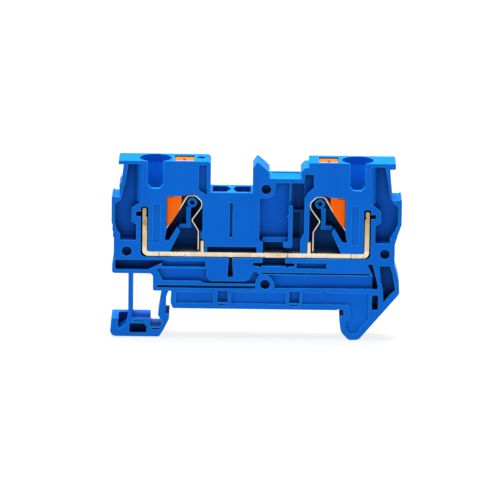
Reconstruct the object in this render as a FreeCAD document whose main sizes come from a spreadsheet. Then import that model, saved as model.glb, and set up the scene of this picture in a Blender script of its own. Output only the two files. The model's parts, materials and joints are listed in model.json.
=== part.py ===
import FreeCAD, Part
import math
import os
import Sketcher

# Feed-through terminal block for a 35 mm top-hat rail, 4 mm2 class, with push-in clamps.
# Frame: X along the block's length, Z up from the rail, -Y out of the open side.
# The origin is the middle of the rail seat. All lengths are in millimetres.

DIMENSIONS = {
    # housing, outer shape
    "half_width": 3.1,
    "left_end": -27.25,
    "right_end": 28.3,
    "top_level": 29.1,
    "flange_level": 28.35,
    "tower_left": -25.0,
    "tower_right": 26.0,
    "shoulder_level": 21.9,
    "bridge_left": -8.35,
    "bridge_right": -0.3,
    "bridge_level": 23.05,
    "marker_left": 2.9,
    "marker_right": 9.1,
    "marker_level": 25.9,
    "right_tower_left": 10.4,
    "wing_level": 6.85,
    "mirror_line": 0.4,
    # rail, snap hook and fixed hook
    "rail_half": 17.5,
    "rail_thickness": 1.0,
    "hook_gap": 0.1,
    "seat_left": -15.4,
    "seat_right": 16.2,
    "seat_step": 0.15,
    "foot_bottom": -5.7,
    "fixed_hook_bottom": -5.95,
    "foot_block_level": -2.1,
    "foot_notch_level": -3.85,
    "leg_left": -23.95,
    "leg_right": -23.1,
    "arm_root_level": 3.45,
    "arm_face": -16.75,
    "hook_tip": -16.05,
    # conductor entries
    "entry_left": -18.9,
    "entry_right": 19.75,
    "entry_axis_y": -0.35,
    "funnel_radius": 3.1,
    "funnel_level": 27.5,
    "funnel_wall": 3.65,
    "throat_radius": 1.45,
    "throat_level": 21.9,
    "throat_bottom": 16.5,
    "slot_half": 1.45,
    "slot_bottom": 23.7,
    # spring chambers
    "chamber_depth": 5.0,
    "chamber_left": -16.75,
    "chamber_wall": -9.8,
    "chamber_top": 22.2,
    "chamber_bottom": 11.2,
    "core_depth": 3.7,
    "boss_x": -11.85,
    "boss_z": 20.55,
    "boss_radius": 0.95,
    # current bar
    "bar_front": -2.7,
    "bar_width": 4.5,
    "bar_bottom": 10.2,
    "bar_thickness": 0.95,
    "bar_gap": 0.08,
    "bar_left": -21.35,
    "bar_right": 22.2,
    "bar_top": 19.75,
    # springs
    "spring_front": -1.95,
    "spring_width": 3.3,
    "spring_gauge": 0.25,
    "spring_foot_x": -10.6,
    "spring_foot_z": 11.3,
    # push buttons
    "button_front": -2.35,
    "button_width": 4.1,
    "button_left": -15.2,
    "button_right": -11.6,
    "button_neck": -13.9,
    "button_top": 28.75,
    "button_step": 25.2,
    "button_shoulder": 21.8,
    "button_travel": 2.0,
    "button_gap": 0.09,
    "lip_thickness": 0.3,
    # stacking holes and pegs
    "socket_radius": 0.95,
    "socket_depth": 1.7,
    "peg_radius": 0.87,
    "peg_length": 1.0,
    "row_level": 11.25,
    "row_left": -24.3,
    "row_right": 25.2,
    "column_x": 2.3,
    "column_low": 4.95,
    "column_high": 23.8,
    # recess depths
    "skin": 0.45,
    "shallow": 1.0,
    "medium": 2.6,
    "deep": 4.6,
}


class Size:
    """A length that remembers the sheet formula it comes from."""

    def __init__(self, value, formula):
        self.value = value
        self.formula = formula

    def __add__(self, other):
        other = as_size(other)
        return Size(self.value + other.value, f"({self.formula} + {other.formula})")

    def __sub__(self, other):
        other = as_size(other)
        return Size(self.value - other.value, f"({self.formula} - {other.formula})")

    def __mul__(self, factor):
        other = as_size(factor)
        return Size(self.value * other.value, f"({self.formula} * {other.formula})")

    def __neg__(self):
        return Size(-self.value, f"(0 - {self.formula})")

    def __rsub__(self, other):
        return as_size(other) - self


def as_size(value):
    """Turn a plain number into a Size."""
    if isinstance(value, Size):
        return value
    text = f"({value:.4f})" if value < 0 else f"{value:.4f}"
    return Size(float(value), text)


class Dims:
    """Named dimensions, one attribute for each alias in the sheet."""

    def __init__(self, table):
        for alias, value in table.items():
            setattr(self, alias, Size(value, "Dims." + alias))


doc = FreeCAD.newDocument("TerminalBlock")
sheet = doc.addObject("Spreadsheet::Sheet", "Dims")
for row, (alias, value) in enumerate(DIMENSIONS.items(), start=1):
    sheet.set(f"A{row}", alias)
    sheet.set(f"B{row}", str(value))
    sheet.setAlias(f"B{row}", alias)
doc.recompute()
D = Dims(DIMENSIONS)


# ---------------------------------------------------------------- sketching helpers


def new_body(name, label):
    """Make an empty body with its own label."""
    body = doc.addObject("PartDesign::Body", name)
    body.Label = label
    body.Placement = FreeCAD.Placement()
    return body


def origin_feature(body, role):
    """Return one of the body's own origin planes or axes."""
    found = [item for item in body.Origin.OriginFeatures if item.Role == role]
    return found[0]


def new_sketch(body, name, role, level):
    """Attach a sketch to an origin plane, moved along its normal by the given size."""
    sketch = body.newObject("Sketcher::SketchObject", name)
    sketch.AttachmentSupport = [(origin_feature(body, role), "")]
    sketch.MapMode = "FlatFace"
    level = as_size(level)
    sketch.AttachmentOffset = FreeCAD.Placement(FreeCAD.Vector(0, 0, level.value), FreeCAD.Rotation())
    sketch.setExpression("AttachmentOffset.Base.z", level.formula)
    return sketch


def corner_cut(before, corner, after, radius):
    """Tangent points and centre of the arc that rounds one corner."""
    to_before = (before - corner).normalize()
    to_after = (after - corner).normalize()
    half_angle = to_before.getAngle(to_after) / 2.0
    reach = radius / math.tan(half_angle)
    middle = (to_before + to_after).normalize()
    centre = corner + middle * (radius / math.sin(half_angle))
    return corner + to_before * reach, corner + to_after * reach, centre


def arc_between(centre, start, end, radius):
    """The short arc from start to end, and whether it runs clockwise."""
    first = math.atan2(start.y - centre.y, start.x - centre.x)
    last = math.atan2(end.y - centre.y, end.x - centre.x)
    turn = (last - first + math.pi) % (2 * math.pi) - math.pi
    circle = Part.Circle(centre, FreeCAD.Vector(0, 0, 1), radius)
    if turn < 0:
        return Part.ArcOfCircle(circle, last, first), True
    return Part.ArcOfCircle(circle, first, last), False


def draw(sketch, corners, closed=True):
    """Draw lines through the corners; a third entry in a corner is its rounding radius."""
    corners = [[as_size(entry) for entry in corner] for corner in corners]
    points = [FreeCAD.Vector(corner[0].value, corner[1].value, 0) for corner in corners]
    count = len(points)
    starts = list(points)
    ends = list(points)
    arcs = {}
    for i, corner in enumerate(corners):
        if len(corner) == 3:
            before, after = points[i - 1], points[(i + 1) % count]
            ends[i], starts[i], centre = corner_cut(before, points[i], after, corner[2].value)
            arcs[i] = arc_between(centre, ends[i], starts[i], corner[2].value)
    first_line = sketch.GeometryCount
    line_count = count if closed else count - 1
    lines = [Part.LineSegment(starts[i], ends[(i + 1) % count]) for i in range(line_count)]
    sketch.addGeometry(lines, False)
    limits = []
    drives = []

    def pin(geometry, place, corner):
        for kind, size in zip(("DistanceX", "DistanceY"), corner):
            drives.append((sketch.ConstraintCount + len(limits), size.formula))
            limits.append(Sketcher.Constraint(kind, -1, 1, geometry, place, size.value))

    for i, corner in enumerate(corners):
        line = first_line + i
        previous = first_line + (i - 1) % count
        if i in arcs:
            arc, clockwise = arcs[i]
            arc_id = sketch.addGeometry(arc, False)
            corner_id = sketch.addGeometry(Part.Point(points[i]), True)
            near, far = (2, 1) if clockwise else (1, 2)
            limits.append(Sketcher.Constraint("Tangent", previous, 2, arc_id, near))
            limits.append(Sketcher.Constraint("Tangent", arc_id, far, line, 1))
            drives.append((sketch.ConstraintCount + len(limits), corner[2].formula))
            limits.append(Sketcher.Constraint("Radius", arc_id, corner[2].value))
            limits.append(Sketcher.Constraint("PointOnObject", corner_id, 1, previous))
            limits.append(Sketcher.Constraint("PointOnObject", corner_id, 1, line))
            pin(corner_id, 1, corner)
        elif closed or 0 < i < count - 1:
            limits.append(Sketcher.Constraint("Coincident", previous, 2, line, 1))
            pin(line, 1, corner)
        elif i == 0:
            pin(line, 1, corner)
        else:
            pin(previous, 2, corner)
    sketch.addConstraint(limits)
    for index, formula in drives:
        sketch.setExpression(f"Constraints[{index}]", formula)


def draw_circle(sketch, x, y, radius):
    """Draw a circle about a point."""
    x, y, radius = as_size(x), as_size(y), as_size(radius)
    centre = FreeCAD.Vector(x.value, y.value, 0)
    circle = sketch.addGeometry(Part.Circle(centre, FreeCAD.Vector(0, 0, 1), radius.value), False)
    base = sketch.ConstraintCount
    sketch.addConstraint([
        Sketcher.Constraint("DistanceX", -1, 1, circle, 3, x.value),
        Sketcher.Constraint("DistanceY", -1, 1, circle, 3, y.value),
        Sketcher.Constraint("Radius", circle, radius.value),
    ])
    for step, size in enumerate((x, y, radius)):
        sketch.setExpression(f"Constraints[{base + step}]", size.formula)


def rectangle(left, bottom, right, top, radius=None):
    """Four corners of an upright rectangle, rounded when a radius is given."""
    corners = [[left, bottom], [right, bottom], [right, top], [left, top]]
    if radius is not None:
        corners = [corner + [radius] for corner in corners]
    return corners


def mirrored(corners):
    """The same outline on the other side of the block's middle line."""
    flipped = [[D.mirror_line * 2 - as_size(corner[0])] + list(corner[1:]) for corner in corners]
    return flipped[::-1]


def across(x):
    """The same X on the other side of the block's middle line."""
    return D.mirror_line * 2 - x


def pad(body, name, corners, front, length):
    """Pad an XZ outline from the front plane given as Y towards +Y."""
    sketch = new_sketch(body, name + "Sketch", "XZ_Plane", -as_size(front))
    draw(sketch, corners)
    return pad_sketch(body, name, sketch, length, True)


def pad_sketch(body, name, sketch, length, reverse):
    """Pad a finished sketch."""
    feature = body.newObject("PartDesign::Pad", name)
    feature.Profile = (sketch, [""])
    feature.Length = as_size(length).value
    feature.setExpression("Length", as_size(length).formula)
    feature.Reversed = reverse
    sketch.Visibility = False
    doc.recompute()
    return feature


def pocket_sketch(body, name, sketch, length, reverse=False):
    """Cut a finished sketch and make sure that the cut took material away."""
    before = body.Shape.Volume
    feature = body.newObject("PartDesign::Pocket", name)
    feature.Profile = (sketch, [""])
    feature.Length = as_size(length).value
    feature.setExpression("Length", as_size(length).formula)
    feature.Reversed = reverse
    sketch.Visibility = False
    doc.recompute()
    if not feature.Shape.Volume < before - 1e-4:
        raise RuntimeError(f"{name} cuts nothing")
    return feature


def recess(body, name, outlines, depth, front=None):
    """Cut outlines into the open side to a depth."""
    start = D.half_width if front is None else -as_size(front)
    sketch = new_sketch(body, name + "Sketch", "XZ_Plane", start)
    for outline in outlines:
        draw(sketch, outline)
    return pocket_sketch(body, name, sketch, depth)


def drop(body, name, outlines, level, depth):
    """Cut XY outlines downwards from a level."""
    sketch = new_sketch(body, name + "Sketch", "XY_Plane", level)
    for outline in outlines:
        draw(sketch, outline)
    return pocket_sketch(body, name, sketch, depth)


# ---------------------------------------------------------------- housing


def housing_outline():
    """Outer shape of the moulded housing, without the snap foot."""
    tower_tip = D.left_end + 1.3
    return [
        [tower_tip, D.top_level, 0.3],
        [D.bridge_left, D.top_level, 0.7],
        [D.bridge_left, D.bridge_level],
        [D.bridge_right, D.bridge_level],
        [D.bridge_right, D.top_level - 1.2],
        [D.bridge_right + 0.85, D.top_level + 0.05, 0.25],
        [D.bridge_right + 1.4, D.top_level - 0.4],
        [D.bridge_right + 2.25, D.top_level - 1.1],
        [D.marker_left, D.top_level - 2.0],
        [D.marker_left, D.marker_level],
        [D.marker_right, D.marker_level],
        [D.marker_right - 0.25, D.marker_level + 1.3],
        [D.marker_right + 0.5, D.marker_level + 2.2],
        [D.right_tower_left, D.marker_level + 2.2],
        [D.right_tower_left, D.top_level, 0.25],
        [D.right_end - 1.3, D.top_level, 0.3],
        [D.right_end - 1.3, D.top_level - 1.1],
        [D.tower_right - 0.1, D.top_level - 1.2],
        [D.tower_right + 0.5, D.shoulder_level],
        [D.right_end - 0.5, D.shoulder_level],
        [D.right_end - 0.15, D.shoulder_level + 0.3],
        [D.right_end, D.shoulder_level - 0.4],
        [D.right_end, 17.1],
        [D.right_end - 0.4, 15.9],
        [D.right_end - 0.65, 15.2],
        [D.right_end - 0.85, 14.4],
        [D.right_end - 1.2, 13.2],
        [D.right_end - 1.2, 9.0, 2.0],
        [D.right_end - 0.3, 6.0, 2.0],
        [D.right_end - 0.15, 3.4, 1.0],
        [20.45, D.fixed_hook_bottom + 0.1, 1.2],
        [18.55, D.fixed_hook_bottom, 1.0],
        [17.0, -4.3, 2.0],
        [D.rail_half - 0.8, -2.2, 1.5],
        [D.rail_half - 0.8, -D.rail_thickness - D.hook_gap],
        [D.rail_half, -D.rail_thickness - D.hook_gap],
        [D.rail_half, D.seat_step],
        [D.seat_right + 0.15, D.seat_step],
        [D.seat_right, 0],
        [D.seat_left, 0, 0.4],
        [D.seat_left - 0.45, 1.2, 1.0],
        [D.seat_left - 0.2, D.arm_root_level, 0.3],
        [D.seat_left - 3.85, D.arm_root_level, 0.4],
        [D.seat_left - 3.85, D.wing_level, 0.7],
        [D.left_end + 0.15, D.wing_level, 0.5],
        [D.left_end + 0.15, 8.6],
        [D.left_end + 0.45, 9.8],
        [D.left_end + 0.45, 13.9],
        [D.left_end + 0.25, 14.2],
        [D.left_end + 0.3, 15.1],
        [D.left_end + 0.15, 15.4],
        [D.left_end + 0.2, 16.4],
        [D.left_end, 16.9],
        [D.left_end, D.shoulder_level - 0.2],
        [D.left_end + 0.3, D.shoulder_level + 0.3],
        [D.left_end + 0.55, D.shoulder_level],
        [D.tower_left - 0.65, D.shoulder_level],
        [D.tower_left - 0.8, 24.2],
        [D.tower_left - 0.35, 24.9],
        [D.tower_left, D.flange_level],
        [tower_tip, D.flange_level],
    ]


def chamber_outline():
    """Left spring chamber, with the slanted stop rib left standing at its lower left."""
    return [
        [D.chamber_left, D.chamber_top, 0.4],
        [-13.8, D.chamber_top],
        [-12.9, D.chamber_top + 0.4],
        [-11.2, D.chamber_top + 0.4, 0.8],
        [D.chamber_wall, 21.2, 0.6],
        [D.chamber_wall, 13.6],
        [D.chamber_wall + 0.45, 13.6],
        [D.chamber_wall + 0.45, D.chamber_bottom - 0.1],
        [-16.1, D.chamber_bottom - 0.1],
        [-14.15, 15.3, 0.2],
        [-14.6, 16.1, 0.2],
        [-16.25, 13.4],
        [-17.1, 13.4],
        [D.chamber_left, 15.4],
    ]


def core_outline():
    """Rib that the spring loop sits around, inside the left chamber."""
    return [
        [-14.45, 15.55, 0.2],
        [-12.0, 15.55, 0.2],
        [-12.15, 17.3],
        [-12.05, 19.75],
        [-12.95, 19.75],
        [-12.95, 16.3],
        [-14.2, 16.3],
    ]


def bar_slot_outline():
    """Slot that the current bar lies in, with the wider openings beside its legs."""
    floor = D.bar_bottom - D.bar_gap
    roof = D.bar_bottom + D.bar_thickness + D.bar_gap
    leg_left_inner = D.bar_left + 1.15
    leg_right_inner = D.bar_right - 1.15
    top = D.bar_top + 0.35
    return [
        [D.bar_left - 0.3, floor, 0.9],
        [D.bar_right + 0.25, floor, 0.9],
        [D.bar_right + 0.25, top - 1.9],
        [D.bar_right + 1.2, top - 1.9],
        [D.bar_right + 1.2, top - 1.1],
        [D.bar_right + 0.25, top - 1.1],
        [D.bar_right + 0.25, top - 0.15, 0.4],
        [leg_right_inner, top - 0.15, 0.4],
        [leg_right_inner, roof],
        [leg_left_inner, roof],
        [leg_left_inner, top, 0.4],
        [D.bar_left - 0.3, top, 0.4],
        [D.bar_left - 0.3, top - 1.0],
        [D.bar_left - 1.2, top - 1.0],
        [D.bar_left - 1.2, top - 1.9],
        [D.bar_left - 0.3, top - 1.9],
    ]


def add_entry(body, side, axis_x):
    """Funnel, throat and conductor channel, and the slot where the funnel meets the open side."""
    sketch = new_sketch(body, side + "EntrySketch", "XZ_Plane", -D.entry_axis_y)
    draw(sketch, [
        [axis_x, D.top_level + 0.5],
        [axis_x, D.throat_bottom],
        [axis_x + D.throat_radius, D.throat_bottom],
        [axis_x + D.throat_radius, D.throat_level],
        [axis_x + D.funnel_radius, D.funnel_level],
        [axis_x + D.funnel_radius, D.top_level + 0.5],
    ])
    before = body.Shape.Volume
    groove = body.newObject("PartDesign::Groove", side + "Entry")
    groove.Profile = (sketch, [""])
    groove.ReferenceAxis = (sketch, ["Edge1"])
    groove.Angle = 360.0
    sketch.Visibility = False
    doc.recompute()
    if not groove.Shape.Volume < before:
        raise RuntimeError("the conductor entry cuts nothing")
    slot = [
        [axis_x - D.slot_half, D.slot_bottom + 0.7, 0.3],
        [axis_x - D.slot_half + 0.7, D.slot_bottom, 0.3],
        [axis_x + D.slot_half - 0.7, D.slot_bottom, 0.3],
        [axis_x + D.slot_half, D.slot_bottom + 0.7, 0.3],
        [axis_x + D.slot_half, D.top_level + 0.5],
        [axis_x - D.slot_half, D.top_level + 0.5],
    ]
    recess(body, side + "EntrySlot", [slot], 1.2)


def add_chambers(body):
    """Spring chambers, their cores and the slot of the current bar."""
    outline = chamber_outline()
    recess(body, "LeftChamber", [outline], D.chamber_depth)
    recess(body, "RightChamber", [mirrored(outline)], D.chamber_depth)
    recess(body, "BarSlot", [bar_slot_outline()], D.bar_front + D.half_width + D.bar_width + 0.1)
    window = rectangle(-20.5, 11.8, D.chamber_left + 0.6, D.throat_bottom + 0.4)
    windows = [window, mirrored(window)]
    recess(body, "ClampWindows", windows, D.spring_width + 0.3, D.spring_front - 0.15)
    core_front = D.core_depth - D.half_width - 1.8
    core = core_outline()
    core_length = D.chamber_depth - D.half_width - core_front + 0.2
    for side, corners in (("Left", core), ("Right", mirrored(core))):
        pad(body, side + "Core", corners, core_front, core_length)
    ledge = rectangle(D.chamber_wall - 0.4, 13.7, D.chamber_wall + 0.3, 15.1, 0.1)
    pad(body, "LeftLedge", ledge, -2.3, 3.0)
    sketch = new_sketch(body, "BossSketch", "XZ_Plane", -core_front)
    draw_circle(sketch, D.boss_x, D.boss_z, D.boss_radius)
    draw_circle(sketch, across(D.boss_x), D.boss_z, D.boss_radius)
    pad_sketch(body, "Bosses", sketch, core_length, True)
    sketch = new_sketch(body, "BossHoleSketch", "XZ_Plane", -core_front)
    draw_circle(sketch, D.boss_x, D.boss_z, D.boss_radius * 0.45)
    draw_circle(sketch, across(D.boss_x), D.boss_z, D.boss_radius * 0.45)
    pocket_sketch(body, "BossHoles", sketch, 1.5)


def add_button_shafts(body):
    """Shafts for the two push buttons, wide at the top and narrow at the neck."""
    gap = D.button_gap
    front = D.button_front - gap
    back = D.button_front + D.button_width + gap
    wide = rectangle(D.button_left - gap, front, D.button_right + gap, back, 0.15)
    narrow = rectangle(D.button_left - gap, front, D.button_neck + gap, back, 0.15)
    step = D.button_step - D.button_travel - gap
    drop(body, "ButtonShafts", [wide, mirrored(wide)], D.top_level + 0.1, D.top_level - step + 0.1)
    through = D.top_level - D.chamber_top + 0.6
    drop(body, "ButtonNecks", [narrow, mirrored(narrow)], D.top_level + 0.1, through)


def add_side_recesses(body):
    """Medium-depth recesses of the open side, between the ribs and walls."""
    left_side = [
        [-24.1, 28.5, 0.2],
        [-21.3, 28.5],
        [-21.3, 21.3],
        [-22.6, 20.3],
        [-23.4, 19.7],
        [-23.4, 17.1],
        [-22.5, 16.6],
        [-22.5, 13.4, 0.3],
        [-25.6, 13.4, 0.3],
        [-25.6, 14.6],
        [-26.2, 15.2],
        [-26.65, 17.0],
        [-26.65, 20.6, 0.5],
        [-25.5, 21.4, 0.5],
        [-24.6, 25.0],
    ]
    right_side = [
        [25.0, 28.4, 0.2],
        [26.1, 22.4],
        [26.7, 21.3],
        [27.6, 20.6, 0.4],
        [27.65, 17.3],
        [27.0, 15.8],
        [26.1, 14.3],
        [26.1, 13.35],
        [23.3, 13.35, 0.3],
        [23.3, 16.8],
        [24.3, 17.4],
        [24.3, 19.6],
        [22.2, 21.3],
        [22.2, 28.4],
    ]
    recess(body, "SideRecesses", [left_side, right_side], D.medium)
    for side, axis_x, outward in (("Left", D.entry_left, -1), ("Right", D.entry_right, 1)):
        sketch = new_sketch(body, side + "FunnelWallSketch", "XY_Plane", 21.0)
        wall = [
            [axis_x + D.funnel_wall * (0.4 * outward), -D.half_width],
            [axis_x + D.funnel_wall * outward, -D.half_width, 1.5],
            [axis_x + D.funnel_wall * outward, D.half_width - 0.1],
            [axis_x + D.funnel_wall * (0.4 * outward), D.half_width - 0.1],
        ]
        draw(sketch, wall)
        pad_sketch(body, side + "FunnelWall", sketch, D.top_level - 21.3, False)
    left_notch = [[-10.6, 28.4], [-10.6, 23.4], [-9.05, 22.5], [-9.05, 28.4]]
    recess(body, "TowerNotch", [left_notch], D.shallow)
    left_panel = rectangle(-19.3, 12.95, -17.95, 20.65, 0.5)
    right_panel = rectangle(18.7, 12.95, 20.1, 20.65, 0.5)
    recess(body, "WallPanels", [left_panel, right_panel], D.skin * 0.6)


def add_middle(body):
    """Bridge shafts, the function shaft beside them and the marker bed."""
    low = D.bridge_level - 10.4
    shaft_front = -D.half_width + 0.75
    shaft_back = D.half_width - 0.9
    first = rectangle(D.bridge_left + 0.35, shaft_front, -5.15, shaft_back, 0.2)
    second = rectangle(-3.55, shaft_front, D.bridge_right - 0.35, shaft_back, 0.2)
    drop(body, "BridgeShafts", [first, second], D.bridge_level, D.bridge_level - low)
    rib_notches = [
        [[-5.15, -2.0], [-4.35, 0.0], [-5.15, 2.0]],
        [[-3.55, -2.0], [-3.55, 2.0], [-4.1, 0.0]],
    ]
    drop(body, "BridgeRibNotches", rib_notches, D.bridge_level, 0.8)
    groove = rectangle(-4.65, 14.3, -4.05, 21.0)
    recess(body, "BridgeGroove", [groove], D.shallow * 0.7)
    gap_line = rectangle(-8.9, 11.2, 0.6, 12.35, 0.1)
    recess(body, "BarGap", [gap_line], D.medium)
    shaft = [
        [1.05, 22.0],
        [1.05, 13.6],
        [1.75, 13.2],
        [1.75, 11.2],
        [8.95, 11.2],
        [8.95, 13.9],
        [9.65, 15.2],
        [9.65, 22.0],
        [10.2, 23.1],
        [11.4, 24.2],
        [11.4, 26.8, 0.3],
        [9.7, 26.8, 0.3],
        [9.5, 25.1],
        [4.1, 25.1],
        [4.1, 24.3],
        [3.7, 22.5, 0.7],
        [2.4, 22.0],
    ]
    recess(body, "FunctionShaft", [shaft], D.medium)
    deep_upper = rectangle(7.5, 19.2, 9.6, 24.9)
    deep_lower = rectangle(7.5, 13.6, 8.9, 18.7)
    deep_foot = rectangle(1.85, 11.1, 6.4, 13.1)
    recess(body, "FunctionShaftDeep", [deep_upper, deep_lower, deep_foot], D.medium + 1.2)
    rib = [
        [6.65, 20.7, 0.3],
        [6.65, 18.8],
        [6.35, 18.5],
        [6.65, 18.1],
        [6.65, 13.4],
        [5.65, 13.4, 0.4],
        [5.65, 12.35, 0.4],
        [7.4, 12.35, 0.4],
        [7.4, 20.7, 0.3],
    ]
    pad(body, "ShaftRib", rib, -D.half_width, D.medium + 1.3)
    low_rib = rectangle(6.75, 20.5, 7.1, 25.2)
    pad(body, "ShaftRibUpper", low_rib, D.shallow - D.half_width + 0.3, D.medium)
    step = rectangle(1.7, 13.1, 6.7, 14.05)
    pad(body, "ShaftStep", step, D.shallow - D.half_width + 0.4, D.medium)
    marker = rectangle(D.marker_left + 0.45, -2.6, D.marker_right - 0.35, 2.6, 0.3)
    drop(body, "MarkerBed", [marker], D.marker_level, 0.2)
    sketch = new_sketch(body, "TestHoleSketch", "XY_Plane", D.top_level)
    draw_circle(sketch, -10.2, 0.3, 0.85)
    pocket_sketch(body, "TestHole", sketch, 4.5)


def add_lower_recesses(body):
    """Ribs, channels and panels between the current bar and the rail seat."""
    long_slot = [
        [-26.5, 7.6, 0.3],
        [-20.2, 7.6, 0.5],
        [-17.0, 9.25],
        [-17.0, 9.55],
        [-26.5, 9.55, 0.3],
    ]
    right_slot = [
        [21.9, 9.2],
        [22.9, 9.2],
        [23.6, 6.5],
        [24.0, 4.9],
        [23.9, 4.2],
        [22.9, 4.2],
        [22.9, 7.0],
    ]
    right_low = rectangle(22.9, 0.1, 24.1, 3.1, 0.4)
    leaf = [
        [24.2, 8.9],
        [24.5, 6.0],
        [24.9, 4.5],
        [25.1, 1.6],
        [26.3, 3.1],
        [27.35, 4.1],
        [26.75, 7.3],
        [26.25, 8.9],
    ]
    recess(body, "DeepSlots", [long_slot, right_slot, right_low, leaf], D.medium)
    upper_left = rectangle(-17.5, 8.3, -9.2, 9.45, 0.1)
    channel_left = [
        [-17.3, 5.5],
        [-10.2, 5.5],
        [-9.3, 5.05],
        [0.45, 5.05],
        [0.55, 5.9],
        [1.25, 6.9],
        [0.5, 7.55],
        [-0.1, 7.3],
        [-0.7, 6.0],
        [-1.5, 5.5, 0.3],
        [-8.2, 5.5, 0.4],
        [-8.9, 6.2, 0.4],
        [-8.9, 7.9],
        [-18.6, 7.9, 0.2],
    ]
    channel_right = [
        [2.6, 6.8],
        [3.4, 6.4],
        [4.1, 5.2],
        [4.1, 4.2],
        [23.15, 4.35],
        [23.15, 6.8],
    ]
    upper_right = rectangle(8.3, 8.2, 14.0, 9.3, 0.1)
    recess(body, "Channels", [upper_left, channel_left, channel_right, upper_right], D.shallow)
    groove_left = rectangle(-18.4, 4.1, 0.4, 4.6)
    line_right = rectangle(1.7, 7.0, 22.4, 7.3)
    recess(body, "Grooves", [groove_left, line_right], D.shallow * 0.8)
    key_slot = [
        [0.0, 8.6],
        [1.0, 8.6],
        [1.3, 8.3],
        [1.6, 8.6],
        [6.3, 8.6],
        [6.6, 8.3],
        [6.9, 8.6],
        [7.9, 8.6],
        [7.9, 9.25],
        [6.15, 9.25],
        [6.15, 10.3],
        [1.75, 10.3],
        [1.75, 9.25],
        [0.0, 9.25],
    ]
    block_slot = [[-4.95, 6.3], [-3.85, 6.3], [-4.05, 10.3], [-4.7, 10.3]]
    recess(body, "KeySlot", [key_slot, block_slot], D.medium)
    panel_left = rectangle(-14.8, 1.1, -7.6, 3.3, 0.2)
    panel_middle = rectangle(-4.2, 1.1, 6.3, 3.4, 0.2)
    panel_right = [
        [9.5, 1.1],
        [18.35, 1.1, 0.3],
        [18.7, 0.5],
        [18.7, -1.5, 0.5],
        [17.8, -2.5, 0.4],
        [18.0, -3.8, 0.5],
        [18.8, -4.75, 0.5],
        [19.9, -4.6, 0.5],
        [22.3, -1.7],
        [22.3, 3.4],
        [14.3, 3.4],
        [14.1, 3.9],
        [13.5, 3.9],
        [13.3, 3.4],
        [9.5, 3.4],
    ]
    recess(body, "Panels", [panel_left, panel_middle, panel_right], D.skin)
    square_left = rectangle(-6.8, 1.3, -4.85, 3.6, 0.15)
    square_right = rectangle(7.0, 1.3, 8.95, 3.6, 0.15)
    slit_left = rectangle(-6.7, 0.75, -5.2, 0.95)
    slit_right = rectangle(7.2, 0.75, 8.6, 0.95)
    recess(body, "Squares", [square_left, square_right, slit_left, slit_right], D.shallow)


def add_sockets_and_pegs(body):
    """Blind holes on the open side and matching pegs on the closed side."""
    places = [
        (D.row_left, D.row_level),
        (D.row_right, D.row_level),
        (D.column_x, D.column_low),
        (D.column_x, D.column_high),
    ]
    sketch = new_sketch(body, "SocketSketch", "XZ_Plane", D.half_width)
    for x, z in places:
        draw_circle(sketch, x, z, D.socket_radius)
    pocket_sketch(body, "Sockets", sketch, D.socket_depth)
    sketch = new_sketch(body, "PegSketch", "XZ_Plane", -D.half_width)
    for x, z in places:
        draw_circle(sketch, x, z, D.peg_radius)
    pad_sketch(body, "Pegs", sketch, D.peg_length, True)


def make_housing():
    """The moulded housing, open towards -Y."""
    body = new_body("Housing", "housing")
    pad(body, "Blank", housing_outline(), -D.half_width, D.half_width * 2)
    add_side_recesses(body)
    add_lower_recesses(body)
    add_middle(body)
    add_chambers(body)
    add_entry(body, "Left", D.entry_left)
    add_entry(body, "Right", D.entry_right)
    add_button_shafts(body)
    add_sockets_and_pegs(body)
    return body


# ---------------------------------------------------------------- snap foot


def make_foot_leg():
    """Thin upright web that lets the foot move sideways."""
    body = new_body("FootLeg", "foot_leg")
    outline = rectangle(D.leg_left, D.foot_block_level, D.leg_right, D.wing_level)
    pad(body, "Leg", outline, -D.half_width, D.half_width * 2)
    return body


def make_foot_arm():
    """Curved springy arm between the housing and the hook of the foot."""
    ledge = -D.rail_thickness - D.hook_gap
    body = new_body("FootArm", "foot_arm")
    outline = [
        [D.arm_face + 0.6, D.arm_root_level],
        [D.arm_face + 0.35, D.arm_root_level - 0.5],
        [D.arm_face + 0.05, D.arm_root_level - 1.4, 1.0],
        [D.arm_face, ledge],
        [D.arm_face - 1.45, ledge],
        [D.arm_face - 0.95, D.arm_root_level - 1.4],
        [D.arm_face - 0.75, D.arm_root_level],
    ]
    pad(body, "Arm", outline, -D.half_width, D.half_width * 2)
    return body


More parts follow.
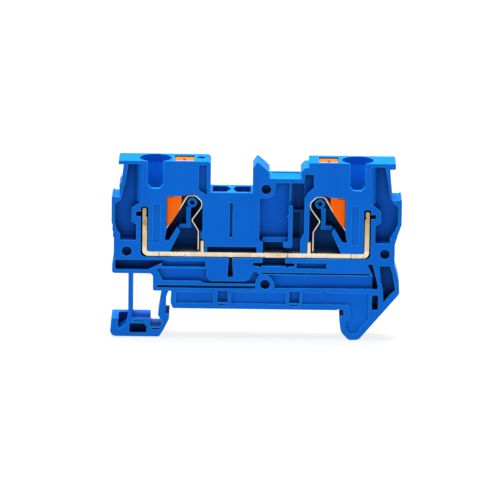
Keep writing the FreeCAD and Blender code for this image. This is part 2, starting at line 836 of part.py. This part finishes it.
def make_snap_foot():
    """Lower block of the foot with the hook that grips under the rail."""
    ledge = -D.rail_thickness - D.hook_gap
    body = new_body("SnapFoot", "snap_foot")
    outline = [
        [D.left_end + 0.05, D.foot_block_level, 0.2],
        [-19.7, D.foot_block_level, 0.2],
        [-19.7, D.foot_notch_level, 0.4],
        [-17.9, D.foot_notch_level, 0.5],
        [-17.3, -2.75, 0.4],
        [D.arm_face - 1.45, -1.5],
        [D.arm_face - 1.45, ledge],
        [D.hook_tip, ledge, 0.15],
        [D.hook_tip, -2.1, 2.0],
        [D.hook_tip - 0.9, -4.0, 2.0],
        [-17.95, D.foot_bottom, 0.5],
        [D.left_end - 0.25, D.foot_bottom, 1.1],
    ]
    pad(body, "Block", outline, -D.half_width, D.half_width * 2)
    driver_slot = [
        [D.leg_left - 1.85, D.foot_block_level + 0.5],
        [D.leg_left - 2.0, -4.1, 0.3],
        [D.leg_left - 1.3, -4.1, 0.3],
        [D.leg_left - 0.15, -3.2, 0.3],
        [D.leg_left - 0.15, D.foot_block_level + 0.5],
    ]
    recess(body, "DriverSlot", [driver_slot], D.deep)
    pocket = [
        [-23.7, -5.0, 0.3],
        [-20.4, -5.0, 0.3],
        [-20.4, -3.7],
        [-20.9, -3.1],
        [-23.7, -3.1, 0.3],
    ]
    recess(body, "Pocket", [pocket], D.medium)
    lock_groove = rectangle(-22.8, -2.75, -20.8, -2.55)
    recess(body, "BlockGroove", [lock_groove], D.skin)
    slit = rectangle(-19.4, -4.25, -17.9, -4.0)
    recess(body, "Slit", [slit], D.shallow)
    return body


# ---------------------------------------------------------------- metal parts


def make_current_bar():
    """Bent copper bar that joins the two clamping points."""
    body = new_body("CurrentBar", "current_bar")
    upper = D.bar_bottom + D.bar_thickness
    left_inner = D.bar_left + D.bar_thickness
    right_inner = D.bar_right - D.bar_thickness
    tab = D.chamber_wall + 0.3
    tab_top = 13.4
    outline = [
        [D.bar_left, D.bar_bottom, 1.2],
        [D.bar_right, D.bar_bottom, 1.2],
        [D.bar_right, D.bar_top - 0.25, 0.3],
        [right_inner + 0.15, D.bar_top - 0.25, 0.3],
        [right_inner + 0.15, D.bar_top - 1.2],
        [right_inner + 0.3, D.bar_top - 1.5],
        [right_inner, D.bar_top - 1.9],
        [right_inner, upper, 0.35],
        [across(tab) + 0.65, upper],
        [across(tab) + 0.65, tab_top, 0.2],
        [across(tab), tab_top, 0.2],
        [across(tab), upper],
        [tab, upper],
        [tab, tab_top, 0.2],
        [tab - 0.65, tab_top, 0.2],
        [tab - 0.65, upper],
        [left_inner, upper, 0.35],
        [left_inner, D.bar_top - 1.9],
        [left_inner - 0.3, D.bar_top - 1.5],
        [left_inner - 0.15, D.bar_top - 1.2],
        [left_inner - 0.15, D.bar_top, 0.3],
        [D.bar_left, D.bar_top, 0.3],
    ]
    pad(body, "Bar", outline, D.bar_front, D.bar_width)
    notches = [
        rectangle(-18.2, D.bar_bottom + 0.1, -18.05, upper + 0.1),
        rectangle(6.45, D.bar_bottom + 0.1, 6.6, upper + 0.1),
        rectangle(18.65, D.bar_bottom + 0.1, 18.8, upper + 0.1),
    ]
    recess(body, "Marks", notches, 0.15, D.bar_front)
    return body


def spring_path(left):
    """Centre line of a clamping spring: foot, waist, loop and clamping leg."""
    path = [
        [D.spring_foot_x, D.spring_foot_z],
        [D.spring_foot_x, 15.2, 1.0],
        [-11.9, 17.25, 0.5],
        [-9.98, 19.9, 0.9],
        [-10.0, 20.95, 0.6],
        [-11.2, 22.1, 0.9],
        [-12.7, 22.1, 0.9],
        [-14.3, 19.35, 0.8],
        [-18.15, 13.5],
    ]
    if left:
        return path
    return [[across(corner[0])] + corner[1:] for corner in path]


def make_spring(name, label, left):
    """Steel strip swept along its centre line."""
    body = new_body(name, label)
    path = new_sketch(body, name + "Path", "XZ_Plane", 0)
    draw(path, spring_path(left), closed=False)
    path.Visibility = False
    section = new_sketch(body, name + "Section", "XY_Plane", D.spring_foot_z)
    middle = D.spring_foot_x if left else across(D.spring_foot_x)
    half = D.spring_gauge * 0.5
    back = D.spring_front + D.spring_width
    draw(section, rectangle(middle - half, D.spring_front, middle + half, back))
    doc.recompute()
    pipe = body.newObject("PartDesign::AdditivePipe", name + "Strip")
    pipe.Profile = (section, [""])
    pipe.Spine = (path, [])
    section.Visibility = False
    doc.recompute()
    return body


# ---------------------------------------------------------------- push buttons


def button_outline():
    """Side view of the left push button: cap, neck and wedge."""
    wedge_left = D.chamber_left + 0.12
    return [
        [D.button_left, D.button_top, 0.2],
        [D.button_right, D.button_top, 0.2],
        [D.button_right, D.button_step, 0.2],
        [D.button_neck, D.button_step],
        [D.button_neck, 20.7],
        [D.button_neck - 0.4, 20.1],
        [D.button_neck - 0.7, 19.55],
        [wedge_left + 0.23, 16.8, 0.15],
        [wedge_left, 16.8, 0.1],
        [wedge_left, D.button_shoulder, 0.3],
        [D.button_left, D.button_shoulder],
    ]


def button_lip():
    """Thin lip on the open side of the wedge that keeps the clamping leg in place."""
    wedge_left = D.chamber_left + 0.12
    return [
        [wedge_left, 19.8],
        [wedge_left, 16.3, 0.1],
        [wedge_left + 0.4, 16.2, 0.1],
        [-14.35, 19.1, 0.3],
        [-14.05, 20.2, 0.3],
        [D.button_neck, 21.5],
        [-15.5, 21.5],
    ]


def make_button(name, label, left):
    """Push button with a wedge that opens the clamping spring."""
    body = new_body(name, label)
    outline = button_outline() if left else mirrored(button_outline())
    pad(body, name + "Blank", outline, D.button_front, D.button_width)
    centre = (D.button_left + D.button_right) * 0.5
    centre = centre if left else across(centre)
    mid_y = D.button_front + D.button_width * 0.5
    lip = button_lip() if left else mirrored(button_lip())
    pad(body, name + "Lip", lip, D.button_front, D.lip_thickness)
    slot = rectangle(centre - 0.35, mid_y - 0.9, centre + 0.35, mid_y + 0.9, 0.2)
    drop(body, name + "Slot", [slot], D.button_top, 1.2)
    return body


# ---------------------------------------------------------------- check and export


def check_document():
    """Stop when an object reports an error or a shape isn't sound."""
    for item in doc.Objects:
        if "Invalid" in item.State or "Error" in item.State:
            raise RuntimeError(f"{item.Label} is {item.State}")


def export(body):
    """Write one body as a STEP file named after its label."""
    shape = body.Shape
    if shape.isNull() or not shape.isValid() or len(shape.Solids) != 1:
        raise RuntimeError(f"{body.Label} isn't one sound solid")
    shape.exportStep(f"parts/{body.Label}.step")


bodies = [
    make_housing(),
    make_foot_leg(),
    make_foot_arm(),
    make_snap_foot(),
    make_current_bar(),
    make_spring("SpringLeft", "clamping_spring_left", True),
    make_spring("SpringRight", "clamping_spring_right", False),
    make_button("ButtonLeft", "push_button_left", True),
    make_button("ButtonRight", "push_button_right", False),
]
doc.recompute()
check_document()
os.makedirs("parts", exist_ok=True)
for body in bodies:
    export(body)
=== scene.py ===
import json
import math

import bmesh
import bpy
from mathutils import Matrix, Vector


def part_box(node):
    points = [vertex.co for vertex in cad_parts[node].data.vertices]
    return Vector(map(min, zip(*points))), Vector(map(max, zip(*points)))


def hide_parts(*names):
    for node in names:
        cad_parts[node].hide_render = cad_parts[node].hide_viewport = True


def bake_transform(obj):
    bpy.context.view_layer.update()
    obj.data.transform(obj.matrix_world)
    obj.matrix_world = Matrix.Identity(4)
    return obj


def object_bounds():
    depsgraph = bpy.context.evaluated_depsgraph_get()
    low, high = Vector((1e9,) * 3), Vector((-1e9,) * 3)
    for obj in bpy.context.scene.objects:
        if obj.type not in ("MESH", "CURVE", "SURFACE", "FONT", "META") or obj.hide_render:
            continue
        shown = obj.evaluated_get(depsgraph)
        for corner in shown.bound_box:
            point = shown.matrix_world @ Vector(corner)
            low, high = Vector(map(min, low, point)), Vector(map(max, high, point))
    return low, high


MM = 0.001
BEVEL_SAMPLES = 8  # rays for each rounded-edge lookup
SMOOTH_SHARP_LIMIT = math.radians(35)  # edges sharper than this are rounded on bending pieces

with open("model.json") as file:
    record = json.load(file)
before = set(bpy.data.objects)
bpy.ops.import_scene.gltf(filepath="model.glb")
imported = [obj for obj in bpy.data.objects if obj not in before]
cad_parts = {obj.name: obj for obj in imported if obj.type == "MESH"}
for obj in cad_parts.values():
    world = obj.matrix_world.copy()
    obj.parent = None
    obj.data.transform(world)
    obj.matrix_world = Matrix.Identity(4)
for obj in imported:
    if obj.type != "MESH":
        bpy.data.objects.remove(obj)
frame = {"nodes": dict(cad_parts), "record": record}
cad_box = [list(corner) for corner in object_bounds()]
nodes = frame["nodes"]


# ---------------------------------------------------------------- materials


class Nodes:
    """Short way to add and link shader nodes."""

    def __init__(self, name):
        self.material = bpy.data.materials.new(name)
        self.material.use_nodes = True
        self.tree = self.material.node_tree
        self.shader = self.tree.nodes["Principled BSDF"]

    def add(self, kind, **inputs):
        node = self.tree.nodes.new(kind)
        for key, value in inputs.items():
            node.inputs[key.replace("_", " ")].default_value = value
        return node

    def link(self, source, output, target, entry):
        self.tree.links.new(source.outputs[output], target.inputs[entry])

    def coordinates(self, stretch=(1, 1, 1)):
        """Object coordinates in metres, stretched along the axes."""
        place = self.add("ShaderNodeTexCoord")
        mapping = self.add("ShaderNodeMapping", Scale=stretch)
        self.link(place, "Object", mapping, "Vector")
        return mapping

    def noise(self, mapping, scale, detail=3.0, rough=0.5):
        noise = self.add("ShaderNodeTexNoise", Scale=scale, Detail=detail, Roughness=rough)
        self.link(mapping, "Vector", noise, "Vector")
        return noise

    def map_range(self, from_min, from_max, to_min, to_max):
        """Clamped linear mapping from one range to another."""
        mapped = self.add("ShaderNodeMapRange")
        mapped.inputs["From Min"].default_value = from_min
        mapped.inputs["From Max"].default_value = from_max
        mapped.inputs["To Min"].default_value = to_min
        mapped.inputs["To Max"].default_value = to_max
        return mapped

    def tinted(self, colour, amount, tint):
        """Colour mixed with a tint by the amount's result."""
        mix = self.add("ShaderNodeMix")
        mix.data_type = "RGBA"
        self.tree.links.new(amount.outputs["Result"], mix.inputs["Factor"])
        self.tree.links.new(colour, mix.inputs[6])  # socket A of a colour mix
        mix.inputs[7].default_value = (*tint, 1)  # socket B
        return mix.outputs[2]

    def edge_highlight_and_darkening(self, colour, radius, tint):
        """Mix in a tint along the edges: a painted highlight on a moulding, a darker edge on a metal
        strip.
        """
        soft = self.add("ShaderNodeBevel", Radius=radius * 1.6)
        soft.samples = BEVEL_SAMPLES
        surface = self.add("ShaderNodeNewGeometry")
        turn = self.add("ShaderNodeVectorMath")
        turn.operation = "DOT_PRODUCT"
        self.link(soft, "Normal", turn, "Vector")
        self.tree.links.new(surface.outputs["Normal"], turn.inputs[1])
        # the mix grows as the rounded normal turns away from the true normal, near edges
        amount = self.map_range(0.998, 0.88, 0.0, 0.8)
        self.link(turn, "Value", amount, "Value")
        return self.tinted(colour, amount, tint)

    def painted_hollow_shade(self, colour, shade_depths):
        """Paint shade into the colour: darken it where the surface lies deep between walls.

        depths holds the openness at the darkest, the openness with no shade, and the darkest scale.
        """
        open_sky = self.add("ShaderNodeAmbientOcclusion", Distance=0.006)
        open_sky.samples = 8
        closed, unshaded, darkest = shade_depths
        shade = self.map_range(closed, unshaded, darkest, 1.0)
        self.link(open_sky, "AO", shade, "Value")
        scaled = self.add("ShaderNodeVectorMath")
        scaled.operation = "SCALE"
        self.tree.links.new(colour, scaled.inputs["Vector"])
        self.link(shade, "Result", scaled, "Scale")
        self.link(scaled, "Vector", self.shader, "Base Color")

    def tint_with_height(self, colour, start, end, tint):
        """Turn the colour to a tint from one height to a higher one."""
        place = self.add("ShaderNodeTexCoord")
        split = self.add("ShaderNodeSeparateXYZ")
        self.link(place, "Object", split, "Vector")
        amount = self.map_range(start, end, 0.0, 1.0)
        self.link(split, "Z", amount, "Value")
        return self.tinted(colour, amount, tint)

    def ramp(self, source, low, high, first, last):
        """Colour ramp between two linear colours."""
        ramp = self.add("ShaderNodeValToRGB")
        ramp.color_ramp.elements[0].position = first
        ramp.color_ramp.elements[0].color = (*low, 1)
        ramp.color_ramp.elements[1].position = last
        ramp.color_ramp.elements[1].color = (*high, 1)
        self.link(source, "Fac", ramp, "Fac")
        return ramp

    def spread(self, source, low, high):
        """Map a noise to a range of values."""
        spread = self.map_range(0.3, 0.7, low, high)
        self.link(source, "Fac", spread, "Value")
        return spread


def moulded_plastic(name, low, high, roughness, grain, edge, shade_depths, rim_highlight, glow=0.0):
    """Moulded polyamide: faint flow marks in colour, fine eroded grain, softly rounded edges, a painted
    highlight along the edges, painted shade in the hollows and an optional painted glow.
    """
    m = Nodes(name)
    flow = m.noise(m.coordinates((1, 1, 0.35)), 160, 4.0, 0.55)
    # painted highlight: a lighter tint along the edges
    colour = m.edge_highlight_and_darkening(m.ramp(flow, low, high, 0.3, 0.7).outputs["Color"], edge, rim_highlight)
    # painted shade: the colour is darkened in the hollows
    m.painted_hollow_shade(colour, shade_depths)
    patches = m.noise(m.coordinates(), 420, 3.0, 0.6)
    rough = m.spread(patches, roughness - 0.05, roughness + 0.07)
    m.link(rough, "Result", m.shader, "Roughness")
    fine = m.noise(m.coordinates(), 9000, 2.0, 0.6)
    sink = m.noise(m.coordinates(), 260, 2.0, 0.5)
    rounded = m.add("ShaderNodeBevel", Radius=edge)
    rounded.samples = BEVEL_SAMPLES
    waves = m.add("ShaderNodeBump", Strength=0.10, Distance=0.00006)
    m.link(rounded, "Normal", waves, "Normal")
    m.link(sink, "Fac", waves, "Height")
    bump = m.add("ShaderNodeBump", Strength=grain, Distance=0.000008)
    m.link(fine, "Fac", bump, "Height")
    m.link(waves, "Normal", bump, "Normal")
    m.link(bump, "Normal", m.shader, "Normal")
    m.shader.inputs["IOR"].default_value = 1.53
    m.shader.inputs["Specular IOR Level"].default_value = 0.06
    if glow:  # painted light: a faint orange emission brightens the orange and keeps it saturated in the shade
        m.shader.inputs["Emission Color"].default_value = (1.0, 0.1, 0.0, 1)
        m.shader.inputs["Emission Strength"].default_value = glow
    return m.material


def rolled_metal(name, low, high, roughness, along, heights, dull):
    """Rolled strip: fine lines along the rolling direction, stains, darker edges and a brown tint that
    grows with height.
    """
    m = Nodes(name)
    lines = m.noise(m.coordinates(along), 900, 5.0, 0.6)
    cloud = m.noise(m.coordinates(), 320, 4.0, 0.6)
    clean = m.ramp(cloud, low, high, 0.3, 0.62)
    stain = clean.color_ramp.elements.new(0.72)
    stain.color = (*dull, 1)
    # darker along the edges
    edge_darkened = m.edge_highlight_and_darkening(clean.outputs["Color"], 0.08 * MM, dull)
    # browner towards the top, from heights[0] up to heights[1]
    colour = m.tint_with_height(edge_darkened, heights[0], heights[1], dull)
    m.tree.links.new(colour, m.shader.inputs["Base Color"])
    rough = m.spread(lines, roughness - 0.08, roughness + 0.10)
    m.link(rough, "Result", m.shader, "Roughness")
    rounded = m.add("ShaderNodeBevel", Radius=0.12 * MM)
    rounded.samples = BEVEL_SAMPLES
    bump = m.add("ShaderNodeBump", Strength=0.25, Distance=0.000012)
    m.link(rounded, "Normal", bump, "Normal")
    m.link(lines, "Fac", bump, "Height")
    m.link(bump, "Normal", m.shader, "Normal")
    m.shader.inputs["Metallic"].default_value = 1.0
    return m.material


blue = moulded_plastic(
    "blue_polyamide",
    low=(0.0003, 0.150, 0.76),
    high=(0.0005, 0.176, 0.86),
    roughness=0.38,
    grain=0.35,
    edge=0.14 * MM,
    # painted shade in the hollows of the blue moulding
    shade_depths=(0.12, 0.54, 0.2),
    # painted highlight: a lighter blue along the edges
    rim_highlight=(0.02, 0.42, 0.95),
)
orange = moulded_plastic(
    "orange_polyamide",
    low=(0.97, 0.13, 0.001),
    high=(1.0, 0.165, 0.002),
    roughness=0.36,
    grain=0.3,
    edge=0.14 * MM,
    # painted shade in the hollows of the orange moulding
    shade_depths=(0.0, 0.25, 0.7),
    # painted highlight: a lighter orange along the edges
    rim_highlight=(1.0, 0.35, 0.08),
    glow=0.25,
)
tinned = rolled_metal(
    "tinned_copper",
    low=(0.72, 0.52, 0.31),
    high=(0.99, 0.87, 0.66),
    roughness=0.36,
    along=(0.08, 1, 1),
    heights=(11.0 * MM, 22.0 * MM),
    dull=(0.34, 0.20, 0.08),
)
steel = rolled_metal(
    "spring_steel",
    low=(0.70, 0.62, 0.46),
    high=(0.90, 0.84, 0.68),
    roughness=0.3,
    along=(1, 0.1, 1),
    heights=(24.0 * MM, 40.0 * MM),  # above the springs, so they get none of the brown tint
    dull=(0.5, 0.4, 0.25),
)


def dress(obj, material):
    """Give an object one material."""
    obj.data.materials.clear()
    obj.data.materials.append(material)


# ---------------------------------------------------------------- shapes


def sliced_copy(node, name, heights):
    """Copy of a CAD node with extra cuts at these heights, so that it can bend."""
    mesh = nodes[node].data.copy()
    mesh.name = name
    copy = bpy.data.objects.new(name, mesh)
    bpy.context.scene.collection.objects.link(copy)
    work = bmesh.new()
    work.from_mesh(mesh)
    bmesh.ops.remove_doubles(work, verts=work.verts, dist=0.001 * MM)
    flat = math.radians(0.5)
    bmesh.ops.dissolve_limit(work, angle_limit=flat, verts=work.verts, edges=work.edges)
    for height in heights:
        parts = work.verts[:] + work.edges[:] + work.faces[:]
        bmesh.ops.bisect_plane(work, geom=parts, plane_co=(0, 0, height), plane_no=(0, 0, 1))
    work.to_mesh(mesh)
    work.free()
    for face in mesh.polygons:
        face.use_smooth = True
    return copy


def steps(low, high, count):
    """Evenly spaced heights strictly between two levels."""
    return [low + (high - low) * (i + 1) / (count + 1) for i in range(count)]


def flex(node, name, cuts, slot, width):
    """Sliced, bevelled copy in place of a CAD node, cut so that it can bend between the housing and a
    moving body.
    """
    low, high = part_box(node)
    piece = sliced_copy(node, name, steps(low.z, high.z, cuts))
    dress(piece, slot_materials[slot])
    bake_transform(piece)
    bevel = piece.modifiers.new("edges", "BEVEL")
    bevel.width = width
    bevel.segments = 2
    bevel.limit_method = "ANGLE"
    bevel.angle_limit = SMOOTH_SHARP_LIMIT
    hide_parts(node)


slot_materials = {
    "blue_polyamide": blue,
    "orange_polyamide": orange,
    "tinned_copper": tinned,
    "spring_steel": steel,
}
for part in frame["record"]["subparts"]:
    dress(nodes[part["node"]], slot_materials[part["material_slot"]])

# The bending line of each spring slopes from the loop down to the tip of the clamping leg. Because of
# the slope, the standing leg moves down with the button too, and its foot sinks into the bar.
for side, outward in (("left", -1), ("right", 1)):
    node = f"clamping_spring_{side}"
    flex(
        node,
        f"clamp_strip_{side}",
        cuts=60,
        slot="spring_steel",
        width=0.05 * MM,
    )

for node, name in (("foot_leg", "leg_web"), ("foot_arm", "arm_web")):
    flex(
        node,
        name,
        cuts=24,
        slot="blue_polyamide",
        width=0.12 * MM,
    )


# ---------------------------------------------------------------- floor, light, camera


def light_table(name, grey, glow):
    """Plain floor material that also glows a little, like a light table."""
    material = bpy.data.materials.new(name)
    material.use_nodes = True
    shader = material.node_tree.nodes["Principled BSDF"]
    shader.inputs["Base Color"].default_value = (grey, grey, grey, 1)
    shader.inputs["Roughness"].default_value = 0.7
    shader.inputs["Emission Color"].default_value = (1, 1, 1, 1)
    shader.inputs["Emission Strength"].default_value = glow
    return material


bottom = cad_box[0][2]
floor_mesh = bpy.data.meshes.new("floor")
reach = 6.0  # half the floor's side, in metres
corners = [(-reach, -reach), (reach, -reach), (reach, reach), (-reach, reach)]
floor_mesh.from_pydata([(x, y, bottom) for x, y in corners], [], [(0, 1, 2, 3)])
floor = bpy.data.objects.new("floor", floor_mesh)
bpy.context.scene.collection.objects.link(floor)
floor.data.materials.append(light_table("floor_white", 0.07, 0.83))

world = bpy.data.worlds.new("studio")
world.use_nodes = True
background = world.node_tree.nodes["Background"]
background.inputs["Color"].default_value = (1, 1, 1, 1)
background.inputs["Strength"].default_value = 0.28
bpy.context.scene.world = world
bpy.context.scene.view_settings.view_transform = "Standard"

sun_data = bpy.data.lights.new("key", "SUN")
sun_data.energy = 8.7
sun_data.angle = math.radians(40)
sun = bpy.data.objects.new("key", sun_data)
bpy.context.scene.collection.objects.link(sun)
sun.rotation_euler = Vector((0.03, -0.12, -1.0)).to_track_quat("-Z", "Y").to_euler()

aim = Vector((-1.83, -3.1, 12.95)) * MM
elevation = math.radians(14.8)
view_width = math.radians(5.948)
distance = 0.9  # from the aimed point, in metres
camera_data = bpy.data.cameras.new("camera")
camera_data.sensor_width = 36.0
camera_data.lens = camera_data.sensor_width / (2 * math.tan(view_width / 2))
camera_data.clip_start = 0.01
camera = bpy.data.objects.new("camera", camera_data)
bpy.context.scene.collection.objects.link(camera)
away = Vector((0, -math.cos(elevation), math.sin(elevation)))
camera.location = aim + away * distance
turn = (-away).to_track_quat("-Z", "Y").to_matrix()
roll = Matrix.Rotation(math.radians(0.75), 3, "Z")
camera.rotation_euler = (turn @ roll).to_euler()
bpy.context.scene.camera = camera
